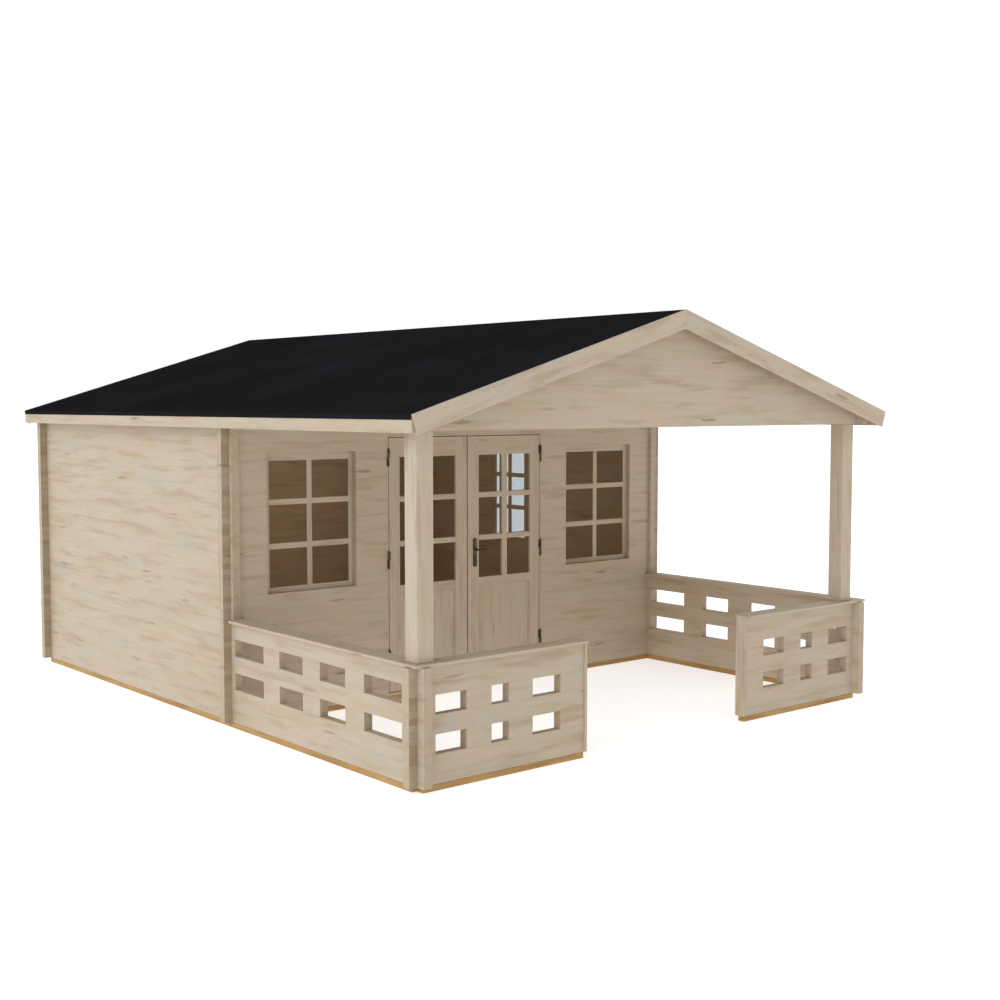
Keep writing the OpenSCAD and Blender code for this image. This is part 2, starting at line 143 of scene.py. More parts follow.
class Paint:
    """One finish: a material, and the nodes that vary it over the surface."""

    def __init__(self, name, **shader):
        self.material = bpy.data.materials.new(name)
        self.material.use_nodes = True
        self.tree = self.material.node_tree
        self.shader = self.tree.nodes["Principled BSDF"]
        for socket, value in shader.items():
            self.shader.inputs[socket.replace("_", " ")].default_value = value

    def node(self, kind, settings=(), inputs=(), output=0):
        """Adds a node with its settings and the values or links of its sockets."""
        made = self.tree.nodes.new(kind)
        for name, value in dict(settings).items():
            if name == "stops":
                fill_ramp(made.color_ramp, value)
            else:
                setattr(made, name, value)
        for key, value in dict(inputs).items():
            if isinstance(value, Value):
                self.tree.links.new(value.socket, made.inputs[key])
            else:
                made.inputs[key].default_value = value
        return Value(self, made.outputs[output])

    def place(self, rotation=(0, 0, 0)):
        """The place on the piece, turned."""
        at = self.node("ShaderNodeTexCoord", output="Object")
        return self.node("ShaderNodeMapping", {}, {"Vector": at, "Rotation": rotation})

    def parts(self, vector):
        split = self.node("ShaderNodeSeparateXYZ", {}, {0: vector})
        sockets = split.socket.node.outputs
        return [Value(self, sockets[i]) for i in range(3)]

    def point(self, x, y, z):
        return self.node("ShaderNodeCombineXYZ", {}, {0: x, 1: y, 2: z})

    def chance(self, x, y, z):
        """A random number from 0 to 1 for each whole x, y and z."""
        return self.node("ShaderNodeTexWhiteNoise", {"noise_dimensions": "3D"},
                         {"Vector": self.point(x, y, z)})

    def cloud(self, vector, scale, detail=3.0, roughness=0.5):
        return self.node("ShaderNodeTexNoise", {"noise_dimensions": "3D"},
                         {"Vector": vector, "Scale": scale, "Detail": detail,
                          "Roughness": roughness})

    def ramp(self, value, stops):
        return self.node("ShaderNodeValToRGB", {"stops": stops}, {"Fac": value})

    def between(self, value, low, high):
        """0 where value is low, 1 where it is high."""
        return self.node("ShaderNodeMapRange", {"interpolation_type": "SMOOTHSTEP"},
                         {"Value": value, "From Min": low, "From Max": high})

    def blend(self, amount, first, second, how="MIX"):
        return self.node("ShaderNodeMix", {"data_type": "RGBA", "blend_type": how},
                         {0: amount, 6: shade(first), 7: shade(second)}, output=2)

    def wear(self, socket, value):
        self.tree.links.new(value.socket, self.shader.inputs[socket])

    def bump(self, height, distance, strength=1.0):
        self.wear("Normal", self.node("ShaderNodeBump", {},
                                      {"Height": height, "Distance": distance,
                                       "Strength": strength}))


def shade(colour):
    """A colour for a socket: a link stays, and three numbers get their alpha."""
    return colour if isinstance(colour, Value) else (*colour, 1.0)


def fill_ramp(ramp, stops):
    while len(ramp.elements) < len(stops):
        ramp.elements.new(0.5)
    for element, (position, colour) in zip(ramp.elements, stops):
        element.position = position
        element.color = shade(colour)


def timber(name, along, row=LAMELLA, first=0.0, block=0.43, slope=0.0, strip=0.0, brown=1.0,
           corner=0.0):
    """Planed softwood of finger-jointed blocks, with its grain along one axis.

    row is a lamella's height and first where the rows start; with strip, whole boards of
    that width lie side by side across the depth. brown is how strong the heartwood shows,
    and the sides of the log ends that lie further than corner from the middle get painted shade.
    """
    paint = Paint(name)
    x, y, z = paint.parts(paint.place(rotation=(0, slope, 0)))
    length, height, depth = {"X": (x, z, y), "Y": (y, z, x), "Z": (z, x, y)}[along]
    course = ((height - first) / row).floor()
    layer = (depth / (strip or 0.58)).floor()
    shift = paint.chance(course, layer, 3.0)
    block_number = (length / block + shift * 9.0).floor()
    kind = paint.chance(block_number, course, layer)
    colour = paint.ramp(kind, [(0.0, GREYISH), (0.3, PALE), (0.62, PINKISH), (0.85, PALE),
                               (1.0, HONEY)])
    colour = paint.blend(0.55, colour, PALE)

    # Soft clouds of pink, grey and honey, drawn out along the grain
    for tint, start, stretch, amount in ((PINKISH, 0.0, 6.0, 0.85), (GREYISH, 7.3, 5.0, 0.9),
                                         (HONEY, 17.9, 11.0, 0.7), (TAN, 31.7, 19.0, 0.5)):
        clouds = paint.cloud(paint.point(length * 2.2 + start, height * stretch, depth * stretch),
                             1.0, 3.0, 0.55)
        colour = paint.blend(paint.between(clouds, 0.49, 0.70) * amount, colour, tint)

    # Year rings and fine fibres
    fibres = paint.cloud(paint.point(length * 5, height * 190, depth * 190), 1.0, 4.0, 0.6)
    rings = paint.cloud(paint.point(length * 2.2, height * 62, depth * 62), 1.0, 2.0)
    grain = 0.88 + fibres * 0.12 + rings * 0.12
    colour = paint.blend(1.0, colour, paint.point(grain, grain, grain), "MULTIPLY")

    smears = streaks(paint, length, height, layer, field_l=0.95, field_h=0.114,
                     half_l=0.20, half_h=0.021, draw=41.0)
    colour = paint.blend(smears * (0.5 * brown), colour, TAN)
    hearts = streaks(paint, length, height, layer, field_l=0.52, field_h=0.076,
                     half_l=0.095, half_h=0.0125, draw=5.0)
    colour = paint.blend(hearts * (0.52 * brown), colour, HEARTWOOD)

    # Ends of the grain, and painted shade on the sides of log ends past the corners
    normals = paint.parts(paint.node("ShaderNodeTexCoord", output="Normal"))
    faces_end = paint.between(normals["XYZ".index(along)].size(), 0.7, 0.9)
    specks = paint.cloud(paint.point(length * 30, height * 120, depth * 120), 1.0, 2.0)
    colour = paint.blend(faces_end * 0.4, colour, paint.blend(specks, END_GRAIN, TAN))
    if corner:
        # Painted shade: the sides of those log ends darken towards a dark brown, by a random amount
        # in each course
        stub_shade_mask = paint.between(length.size(), corner - 0.002, corner + 0.002)
        stub_shade_depth = 0.35 + paint.chance(course, 9.0, layer) * 0.4
        colour = paint.blend(stub_shade_mask * (1.0 - faces_end) * stub_shade_depth, colour, PAINTED_STUB_SHADE)

    paint.wear("Base Color", colour)
    paint.wear("Roughness", 0.52 + fibres * 0.2)
    paint.bump(fibres * 0.6 + rings * 0.4, 0.0005)
    return paint.material


def streaks(paint, length, height, layer, field_l, field_h, half_l, half_h, draw):
    """Soft streaks along the grain, in about one field in ten; draw picks which.

    field_l and field_h are a field's size, half_l and half_h about half a streak's.
    """
    row = (height / field_h).floor()
    run = length / field_l + paint.chance(row, layer, draw) * 7.0
    column = run.floor()
    tilt = paint.chance(column, row, draw + 23.0) - 0.5
    wobble = paint.cloud(paint.point(length * 14, height * 55, draw), 1.0, 2.0) - 0.5
    along = (run - column - 0.5) * field_l
    across = (height / field_h - row - 0.5) * field_h + along * tilt * 0.14 + wobble * half_h
    reach = along * along / half_l ** 2 + across * across / half_h ** 2
    there = paint.between(paint.chance(column, row, layer + draw + 31.0), 0.86, 0.97)
    return paint.between(reach + wobble, 1.0, 0.1) * there


def treated_timber(name, along):
    """Pressure-treated beams, golden brown with darker streaks."""
    paint = Paint(name)
    x, y, z = paint.parts(paint.place())
    length, across, depth = {"X": (x, z, y), "Y": (y, z, x)}[along]
    patches = paint.cloud(paint.point(length * 2.4, across * 28, depth * 28), 1.0, 3.0, 0.6)
    colour = paint.ramp(patches, [(0.25, (0.27, 0.135, 0.038)), (0.45, (0.41, 0.23, 0.072)),
                                  (0.6, (0.47, 0.285, 0.10)), (0.8, (0.54, 0.37, 0.18))])
    fibres = paint.cloud(paint.point(length * 6, across * 170, depth * 170), 1.0, 4.0)
    grain = 0.8 + fibres * 0.36
    colour = paint.blend(1.0, colour, paint.point(grain, grain, grain), "MULTIPLY")
    paint.wear("Base Color", colour)
    paint.wear("Roughness", 0.6 + fibres * 0.2)
    paint.bump(fibres, 0.0008)
    return paint.material


def roofing_felt():
    """Black bitumen felt with a fine mineral surface and faint blue-grey clouds."""
    paint = Paint("roofing_felt", Specular_IOR_Level=0.0)
    place = paint.place()
    clouds = paint.cloud(place, 1.3, 4.0, 0.6)
    colour = paint.ramp(clouds, [(0.35, (0.0119, 0.0119, 0.0125)),
                                 (0.55, (0.0142, 0.0143, 0.0152)),
                                 (0.75, (0.0169, 0.0174, 0.0194))])
    grit = paint.cloud(place, 420.0, 2.0, 0.7)
    sparkle = 0.75 + grit * 0.5
    colour = paint.blend(1.0, colour, paint.point(sparkle, sparkle, sparkle), "MULTIPLY")
    paint.wear("Base Color", colour)
    paint.wear("Roughness", 0.8 + grit * 0.15)
    paint.bump(grit, 0.0006)
    return paint.material


def window_pane():
    """Clear float glass: it lets most light through and mirrors at a flat angle."""
    paint = Paint("window_pane", Base_Color=(0.02, 0.018, 0.015, 1.0), IOR=1.5)
    dust = paint.cloud(paint.place(), 6.0, 3.0)
    paint.wear("Roughness", 0.02 + dust * 0.05)
    clear = paint.node("ShaderNodeBsdfTransparent", {}, {"Color": (0.82, 0.835, 0.84, 1.0)})
    edge = paint.node("ShaderNodeLayerWeight", {}, {"Blend": 0.5}, output="Facing")
    mirrored = 0.04 + edge * edge * edge * 0.6
    mixed = paint.node("ShaderNodeMixShader", {}, {0: mirrored, 1: clear})
    paint.tree.links.new(paint.shader.outputs[0], mixed.socket.node.inputs[2])
    paint.tree.links.new(mixed.socket, paint.tree.nodes["Material Output"].inputs["Surface"])
    return paint.material


def bronzed_metal():
    """Antique bronze: dark brown with lighter worn spots."""
    paint = Paint("bronzed_metal", Metallic=0.85)
    place = paint.place()
    worn = paint.cloud(place, 38.0, 4.0, 0.65)
    colour = paint.ramp(worn, [(0.3, (0.040, 0.034, 0.020)), (0.52, (0.085, 0.075, 0.042)),
                               (0.72, (0.20, 0.18, 0.11))])
    paint.wear("Base Color", colour)
    paint.wear("Roughness", 0.3 + worn * 0.3)
    paint.bump(worn, 0.0004)
    return paint.material


def zinc_metal():
    """Galvanised screws and nails."""
    paint = Paint("zinc_metal", Roughness=0.45, Metallic=0.9)
    spangle = paint.cloud(paint.place(), 300.0, 2.0)
    paint.wear("Base Color", paint.ramp(spangle, [(0.3, (0.30, 0.29, 0.27)),
                                                  (0.7, (0.50, 0.49, 0.46))]))
    return paint.material


def dark_slot():
    """Near-black: painted shade inside the keyholes, and the heads of the felt nails."""
    paint = Paint("dark_slot", Roughness=0.8)
    soot = paint.cloud(paint.place(), 200.0, 2.0)
    paint.wear("Base Color", paint.ramp(soot, [(0.3, (0.006, 0.006, 0.005)),
                                               (0.7, (0.014, 0.013, 0.011))]))
    return paint.material


LOGS_X = timber("logs_along_x", "X", first=0.040 - HALF_LOG, brown=1.2,
                corner=LOG_ENDS_FROM)
LOGS_Y = timber("logs_along_y", "Y", first=0.040, brown=0.8)
BOARDS_X = timber("boards_along_x", "X", row=0.5, first=0.031, block=0.62, strip=0.31)
BOARDS_Y = timber("boards_along_y", "Y", row=0.5, first=0.033, block=0.62, strip=0.29)
POSTS_Z = timber("posts_along_z", "Z", block=0.52)
PANEL_Z = timber("panels_along_z", "Z", row=0.105, block=2.6, brown=0.7)
STILES_Z = timber("stiles_along_z", "Z", row=0.055, block=0.48, brown=0.6)
RAILS_X = timber("rails_along_x", "X", row=0.062, block=0.40, brown=0.6)
RAILS_Y = timber("rails_along_y", "Y", row=0.062, block=0.40, brown=0.6)
BARGE_LEFT = timber("barge_left", "X", row=0.5, first=0.21, block=0.62, slope=PITCH)
BARGE_RIGHT = timber("barge_right", "X", row=0.5, first=0.21, block=0.62, slope=-PITCH)
ROOF_BOARDS = timber("roof_boards", "X", row=9.0, first=-1.0, block=1.1, strip=ROOF_BOARD)
FLOOR_BOARDS = timber("floor_boards_finish", "X", row=9.0, first=-1.0, block=0.9,
                      strip=FLOOR_BOARD)
BEAMS_X = treated_timber("beams_along_x", "X")
BEAMS_Y = treated_timber("beams_along_y", "Y")
ROOFING_FELT = roofing_felt()
PANE = window_pane()
BRONZE = bronzed_metal()
ZINC = zinc_metal()
KEYHOLE_SHADE_AND_NAILS = dark_slot()


# ------------------------------------------------------------------- shapes

def finish(obj, *materials):
    obj.data.materials.clear()
    for material in materials:
        obj.data.materials.append(material)


def piece(name, bm, materials, body="root", replaces=(), smooth=False):
    """Makes an object of a bmesh and lets it ride on its body."""
    mesh = bpy.data.meshes.new(name)
    bm.to_mesh(mesh)
    bm.free()
    obj = bpy.data.objects.new(name, mesh)
    bpy.context.scene.collection.objects.link(obj)
    finish(obj, *materials)
    if smooth:
        mesh.shade_smooth()
        mesh.set_sharp_from_angle(angle=math.radians(35))
    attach(obj, body)
    if replaces:
        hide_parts(*replaces)
    return obj


def bevel(bm, edges, width, segments=1):
    bmesh.ops.bevel(bm, geom=edges, offset=width, affect="EDGES", segments=segments,
                    profile=0.5, material=-1, clamp_overlap=True)


def add_block(bm, low, high, edge=EDGE, segments=1, turn=None):
    """A squared timber between two corners, with its edges taken off."""
    low, high = Vector(low), Vector(high)
    with_block = bmesh.new()
    bmesh.ops.create_cube(with_block, size=1.0)
    bmesh.ops.scale(with_block, vec=high - low, verts=with_block.verts)
    bmesh.ops.translate(with_block, vec=(low + high) / 2, verts=with_block.verts)
    if edge:
        bevel(with_block, with_block.edges[:], edge, segments)
    if turn is not None:
        bmesh.ops.transform(with_block, matrix=turn, verts=with_block.verts)
    join(bm, with_block)


def join(bm, other):
    """Moves another bmesh's shape into this one."""
    carrier = bpy.data.meshes.new("carrier")
    other.to_mesh(carrier)
    other.free()
    bm.from_mesh(carrier)
    bpy.data.meshes.remove(carrier)


def pull(bm, faces, by):
    """Pulls faces out into a solid and gives the faces at its far end."""
    grown = bmesh.ops.extrude_face_region(bm, geom=faces)["geom"]
    verts = [v for v in grown if isinstance(v, bmesh.types.BMVert)]
    bmesh.ops.translate(bm, vec=by, verts=verts)
    return [f for f in grown if isinstance(f, bmesh.types.BMFace)]


def blocks(corners, edge=EDGE, segments=1):
    bm = bmesh.new()
    for low, high in corners:
        add_block(bm, low, high, edge, segments)
    return bm


def add_rod(bm, start, end, radius, sides=20, tip=None):
    """A round bar from start to end; tip is the far end's radius."""
    start, end = Vector(start), Vector(end)
    run = end - start
    rod = bmesh.new()
    bmesh.ops.create_cone(rod, cap_ends=True, segments=sides, radius1=radius,
                          radius2=radius if tip is None else tip, depth=run.length)
    turn = run.to_track_quat("Z", "Y").to_matrix().to_4x4()
    bmesh.ops.transform(rod, matrix=Matrix.Translation((start + end) / 2) @ turn,
                        verts=rod.verts)
    join(bm, rod)


def add_screw(bm, at, out, radius=0.004):
    """A countersunk screw's head, standing a hair proud of the wood, with its recess."""
    out = Vector(out)
    head = bmesh.new()
    bmesh.ops.create_circle(head, cap_ends=True, segments=12, radius=radius)
    cap = pull(head, head.faces[:], (0, 0, SCREW_PROUD))
    bmesh.ops.inset_region(head, faces=cap, thickness=radius * 0.55, depth=0.0)
    bmesh.ops.inset_region(head, faces=cap, thickness=radius * 0.1, depth=-0.0007)
    bmesh.ops.recalc_face_normals(head, faces=head.faces)
    turn = out.to_track_quat("Z", "Y").to_matrix().to_4x4()
    bmesh.ops.transform(head, matrix=Matrix.Translation(at) @ turn, verts=head.verts)
    join(bm, head)


def spread(low, high, count):
    """Evenly spaced places, with half a step before the first and after the last."""
    return [low + (high - low) * (k + 0.5) / count for k in range(count)]


def solids(node):
    """The corners of each separate solid of a CAD node, from left to right."""
    copy = bmesh.new()
    copy.from_mesh(NODES[node].data)
    bmesh.ops.remove_doubles(copy, verts=copy.verts, dist=1e-5)
    left = set(copy.verts)
    found = []
    while left:
        group, front = set(), [left.pop()]
        while front:
            vert = front.pop()
            group.add(vert)
            for edge in vert.link_edges:
                other = edge.other_vert(vert)
                if other in left:
                    left.discard(other)
                    front.append(other)
        found.append((Vector([min(v.co[i] for v in group) for i in range(3)]),
                      Vector([max(v.co[i] for v in group) for i in range(3)])))
    copy.free()
    return sorted(found, key=lambda corners: (corners[0].x, corners[0].y))


# ----------------------------------------------------------- walls and base

def dress_logs():
    """The log nodes keep their CAD shape and get the finish of their direction."""
    along_y = ("left_wall", "right_wall", "left_plate", "right_plate", "left_railing",
               "right_railing", "purlins")
    along_x = ("rear_wall", "front_wall_left", "front_wall_right", "front_wall_top",
               "rear_gable", "middle_gable", "porch_gable", "front_left_railing",
               "front_right_railing")
    for names, material in ((along_y, LOGS_Y), (along_x, LOGS_X)):
        for name in names:
            finish(NODES[name], material)


def dress_beams():
    for node, material in (("side_beams", BEAMS_Y), ("cross_beams", BEAMS_X),
                           ("front_beams", BEAMS_X), ("floor_joists", BEAMS_Y)):
        piece(node + "_planed", blocks(solids(node)), [material],
              replaces=[node])


def lay_floor():
    """Tongued floor boards along the width, each with a small bevel."""
    low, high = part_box("floor_boards")
    count = round((high.y - low.y) / FLOOR_BOARD)
    step = (high.y - low.y) / count
    corners = [((low.x, low.y + k * step + JOINT_GAP, low.z),
                (high.x, low.y + (k + 1) * step - JOINT_GAP, high.z)) for k in range(count)]
    piece("floor_boarding", blocks(corners, SHARP_EDGE), [FLOOR_BOARDS],
          replaces=["floor_boards"])


def set_posts():
    for node in ("left_post", "right_post"):
        piece(node + "_planed", blocks([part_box(node)], 0.004, 2), [POSTS_Z],
              replaces=[node])


# ------------------------------------------------------------------ railing

def lay_rail_caps():
    """Each cap is a side board and a front board that meet in a mitre at the corner."""
    screws = bmesh.new()
    for node, side in (("left_rail_cap", -1), ("right_rail_cap", 1)):
        low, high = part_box(node)
        outer, gate = (low.x, high.x) if side < 0 else (high.x, low.x)
        inner = outer - side * CAP_W
        front_back = low.y + CAP_W
        stub_y = high.y - WALL_STUB
        slit = Vector((0, JOINT_GAP))
        side_board = [Vector((outer, low.y)) + slit, Vector((inner, front_back)) + slit,
                      (inner, high.y), (outer - side * CAP_OVER, high.y),
                      (outer - side * CAP_OVER, stub_y), (outer, stub_y)]
        front_board = [Vector((outer, low.y)) - side * slit.yx, (gate, low.y), (gate, front_back),
                       Vector((inner, front_back)) - side * slit.yx]
        for name, outline, material in (("side", side_board, BOARDS_Y),
                                        ("front", front_board, BOARDS_X)):
            bm = bmesh.new()
            add_plank(bm, outline, low.z, high.z)
            piece(f"{node}_{name}", bm, [material], replaces=[node] if name == "side" else ())
        middle = outer - side * CAP_W / 2
        for y in spread(front_back, stub_y, 4):
            add_screw(screws, (middle, y, high.z), (0, 0, 1))
        for x in spread(inner, gate, 3):
            add_screw(screws, (x, low.y + CAP_W / 2, high.z), (0, 0, 1))
    piece("cap_screws", screws, [ZINC])


def add_plank(bm, outline, bottom, top, edge=EDGE):
    """A flat board with any outline in plan, with its edges taken off."""
    plank = bmesh.new()
    face = plank.faces.new([plank.verts.new((x, y, bottom)) for x, y in outline])
    pull(plank, [face], (0, 0, top - bottom))
    bmesh.ops.recalc_face_normals(plank, faces=plank.faces)
    bevel(plank, plank.edges[:], edge, 2)
    join(bm, plank)


def cut(bm, at, away, gap=0.0):
    """Cuts off what lies on the far side of a plane and closes the cut."""
    away = Vector(away).normalized()
    geometry = bm.verts[:] + bm.edges[:] + bm.faces[:]
    made = bmesh.ops.bisect_plane(bm, geom=geometry, dist=1e-6, plane_co=Vector(at) - away * gap,
                                  plane_no=away, clear_outer=True)
    edges = [e for e in made["geom_cut"] if isinstance(e, bmesh.types.BMEdge)]
    bmesh.ops.holes_fill(bm, edges=edges, sides=0)


def set_end_boards():
    screws = bmesh.new()
    corners = solids("rail_end_boards")
    for low, high in corners:
        out = 1 if high.x < 0 else -1
        face = high.x if out > 0 else low.x
        for z in spread(low.z, high.z, 4):
            add_screw(screws, (face, (low.y + high.y) / 2, z), (out, 0, 0))
    piece("rail_end_boards_planed", blocks(corners, EDGE, 2), [STILES_Z],
          replaces=["rail_end_boards"])
    piece("end_board_screws", screws, [ZINC])


# --------------------------------------------------------------------- roof

def lay_roof_boards():
    """Matched boards from ridge to eave, with a V at each joint on the underside."""
    for node, side in (("left_roof_boards", -1), ("right_roof_boards", 1)):
        low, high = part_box(node)
        width = high.x - low.x
        thick = (high.z - low.z - width * math.tan(PITCH)) * math.cos(PITCH)
        count = round((high.y - low.y) / ROOF_BOARD)
        step = (high.y - low.y) / count
        run = width / math.cos(PITCH)
        bm = bmesh.new()
        for k in range(count):
            board = bmesh.new()
            bmesh.ops.create_cube(board, size=1.0)
            bmesh.ops.scale(board, vec=(run + 0.1, step - 2 * JOINT_GAP, thick),
                            verts=board.verts)
            bmesh.ops.translate(board, vec=(side * run / 2, low.y + (k + 0.5) * step, thick / 2),
                                verts=board.verts)
            under = [e for e in board.edges
                     if all(v.co.z < 1e-6 for v in e.verts)
                     and abs(e.verts[0].co.x - e.verts[1].co.x) > step]
            bevel(board, under, 0.004)
            join(bm, board)
        turn = Matrix.Rotation(side * PITCH, 4, "Y")
        ridge = Matrix.Translation((0, 0, low.z + width * math.tan(PITCH)))
        bmesh.ops.transform(bm, matrix=ridge @ turn, verts=bm.verts)
        cut(bm, (0, 0, 0), (-side, 0, 0))
        cut(bm, (side * width, 0, 0), (side, 0, 0))
        piece(node + "_matched", bm, [ROOF_BOARDS], replaces=[node])


def lay_felt():
    """Sheets of felt along the length, each lapping over the one below, with a ridge strip."""
    low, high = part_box("roof_felt")
    half = high.x
    peak = high.z
    slope = math.tan(PITCH)
    lap = 0.09
    bm = bmesh.new()
    nails = bmesh.new()
    lip_low = low.z
    board_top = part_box("left_roof_boards")[1].z

    def on_board(x, lift):
        return board_top - abs(x) * slope + lift / math.cos(PITCH)

    def add_sheet(points):
        face = bm.faces.new([bm.verts.new((x, low.y, z)) for x, z in points])
        pull(bm, [face], (0, high.y - low.y, 0))

    total = (peak - board_top) * math.cos(PITCH)
    lifted = total * 0.9
    rows = [half * k / FELT_SHEETS for k in range(FELT_SHEETS + 1)]
    for side in (-1, 1):
        for k in range(FELT_SHEETS):
            upper = max(rows[k] - lap, 0.0)
            lower = rows[k + 1]
            last = k == FELT_SHEETS - 1
            points = [(upper, on_board(upper, 0.0)), (upper, on_board(upper, total * 0.55)),
                      (lower, on_board(lower, lifted))]
            if last:
                fold = half - FELT
                points += [(half, lip_low), (fold, lip_low), (fold, on_board(fold, 0.0))]
            else:
                points += [(lower, on_board(lower, total * 0.6))]
            add_sheet([(side * x, z) for x, z in points])
            if not last:
                x = lower - 0.03
                for y in spread(low.y, high.y, 30):
                    add_screw(nails, (side * x, y, on_board(x, lifted * 0.985) - 0.0004),
                              (side * math.sin(PITCH), 0, math.cos(PITCH)))
    strip = 0.16
    ridge = [(-strip, on_board(strip, total)), (0, peak), (strip, on_board(strip, total)),
             (strip, on_board(strip, total * 0.5)), (0, on_board(0, total * 0.5)),
             (-strip, on_board(strip, total * 0.5))]
    add_sheet(ridge)
    bmesh.ops.recalc_face_normals(bm, faces=bm.faces)
    piece("felt_sheets", bm, [ROOFING_FELT], replaces=["roof_felt"])
    piece("felt_nails", nails, [KEYHOLE_SHADE_AND_NAILS])


def set_fascias():
    """Fascia boards under the felt's lip, square to the ground, in two lengths each."""
    screws = bmesh.new()
    bm = bmesh.new()
    for low, high in solids("eave_fascias"):
        side = 1 if high.x > 0 else -1
        outer = high.x if side > 0 else low.x
        inner = low.x if side > 0 else high.x
        trim = abs(outer - inner) * math.tan(PITCH)
        middle = low.y + (high.y - low.y) * 0.46
        for y0, y1 in ((low.y, middle - JOINT_GAP), (middle + JOINT_GAP, high.y)):
            add_block(bm, (min(inner, outer), y0, low.z), (max(inner, outer), y1, high.z - trim),
                      SHARP_EDGE)
        for y in spread(low.y, high.y, 9):
            for z in (low.z + 0.02, low.z + 0.055):
                add_screw(screws, (outer, y, z), (side, 0, 0), SMALL_SCREW)
    piece("fascias_planed", bm, [BOARDS_Y], replaces=["eave_fascias"])
    piece("fascia_screws", screws, [ZINC])


def set_barge_boards():
    """Two boards at each gable that meet in a plumb cut at the ridge."""
    screws = bmesh.new()
    for node, outward in (("front_barge_boards", -1), ("rear_barge_boards", 1)):
        low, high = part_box(node)
        face = low.y + SCREW_PROUD if outward < 0 else high.y - SCREW_PROUD
        near, far = sorted((face, high.y if outward < 0 else low.y))
        half = high.x
        peak = high.z
        rise = half * math.tan(PITCH)
        depth = (peak - rise - low.z) / math.cos(PITCH)
        run = half / math.cos(PITCH)
        for side, word, material in ((-1, "left", BARGE_LEFT), (1, "right", BARGE_RIGHT)):
            bm = bmesh.new()
            start, end = sorted((-side * 0.2, side * run))
            turn = Matrix.Translation((0, 0, peak)) @ Matrix.Rotation(side * PITCH, 4, "Y")
            add_block(bm, (start, near, -depth), (end, far, 0.0), EDGE, 2, turn)
            cut(bm, (0, 0, 0), (-side, 0, 0), JOINT_GAP / 2)
            piece(f"{node}_{word}", bm, [material],
                  replaces=[node] if side < 0 else ())
            for along in spread(0.02, run, 5):
                for down in (0.03, depth - 0.03):
                    at = turn @ Vector((side * along, face, -down))
                    add_screw(screws, at, (0, outward, 0), SMALL_SCREW)
    piece("barge_screws", screws, [ZINC])


# ------------------------------------------------------- windows and doors

def add_grid(stiles, rails, low, high, out, post, bar, thick):
    """One upright and two cross bars in an opening, moulded on both faces.

    low and high are the opening's corners; out is "x" or "y", the way that it faces.
    """
    side = "x" if out == "y" else "y"
    start, end = getattr(low, side), getattr(high, side)
    middle = (getattr(low, out) + getattr(high, out)) / 2
    front, back = middle - thick / 2, middle + thick / 2
    pane_h = (high.z - low.z - 2 * bar) / 3

    def corner(across, depth, z):
        return (across, depth, z) if out == "y" else (depth, across, z)

    left = (start + end - post) / 2
    add_bar(stiles, corner(left, front, low.z), corner(left + post, back, high.z), "z")
    for bottom in (low.z + pane_h, high.z - pane_h - bar):
        add_bar(rails, corner(start, front + BAR_BACK, bottom),
                corner(end, back - BAR_BACK, bottom + bar), side)


def add_bar(bm, low, high, along):
    """A glazing bar: its long edges are moulded off, and its ends stay square."""
    low, high = Vector(low), Vector(high)
    bar = bmesh.new()
    bmesh.ops.create_cube(bar, size=1.0)
    bmesh.ops.scale(bar, vec=high - low, verts=bar.verts)
    bmesh.ops.translate(bar, vec=(low + high) / 2, verts=bar.verts)
    axis = "xyz".index(along)
    long_edges = [e for e in bar.edges
                  if abs(e.verts[0].co[axis] - e.verts[1].co[axis]) > 1e-4]
    bevel(bar, long_edges, 0.005, 3)
    join(bm, bar)


def glaze_window(word, sheet, out, rail_finish):
    """A window: frame members with butt joints round its sheet of glass, and glazing bars."""
    node = f"{word}_window_frame"
    low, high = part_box(node)
    glass_low, glass_high = sheet
    side = "x" if out == "y" else "y"
    stiles, rails = bmesh.new(), bmesh.new()

    def add_member(bm, a0, a1, z0, z1, shrink=0.0):
        corners = []
        for box, a, z, move in ((low, a0, z0, shrink), (high, a1, z1, -shrink)):
            corner = box.copy()
            setattr(corner, side, a)
            setattr(corner, out, getattr(box, out) + move)
            corner.z = z
            corners.append(corner)
        add_block(bm, *corners, EDGE, 2)

    start, end = getattr(low, side), getattr(high, side)
    left, right = getattr(glass_low, side), getattr(glass_high, side)
    add_member(stiles, start, left, low.z, high.z)
    add_member(stiles, right, end, low.z, high.z)
    for z0, z1 in ((low.z, glass_low.z), (glass_high.z, high.z)):
        add_member(rails, left - EDGE, right + EDGE, z0, z1, WINDOW_RAIL_BACK)
    add_grid(stiles, rails, glass_low, glass_high, out, WINDOW_BAR, WINDOW_BAR, WINDOW_BAR_DEPTH)
    piece(f"{word}_window_stiles", stiles, [STILES_Z], "root", [node])
    piece(f"{word}_window_rails", rails, [rail_finish], "root")


def set_windows():
    left_sheet, right_sheet, side_sheet = solids("window_glass")
    glaze_window("left", left_sheet, "y", RAILS_X)
    glaze_window("right", right_sheet, "y", RAILS_X)
    glaze_window("side", side_sheet, "x", RAILS_Y)
    for node in ("window_glass", "left_leaf_glass", "right_leaf_glass"):
        finish(NODES[node], PANE)


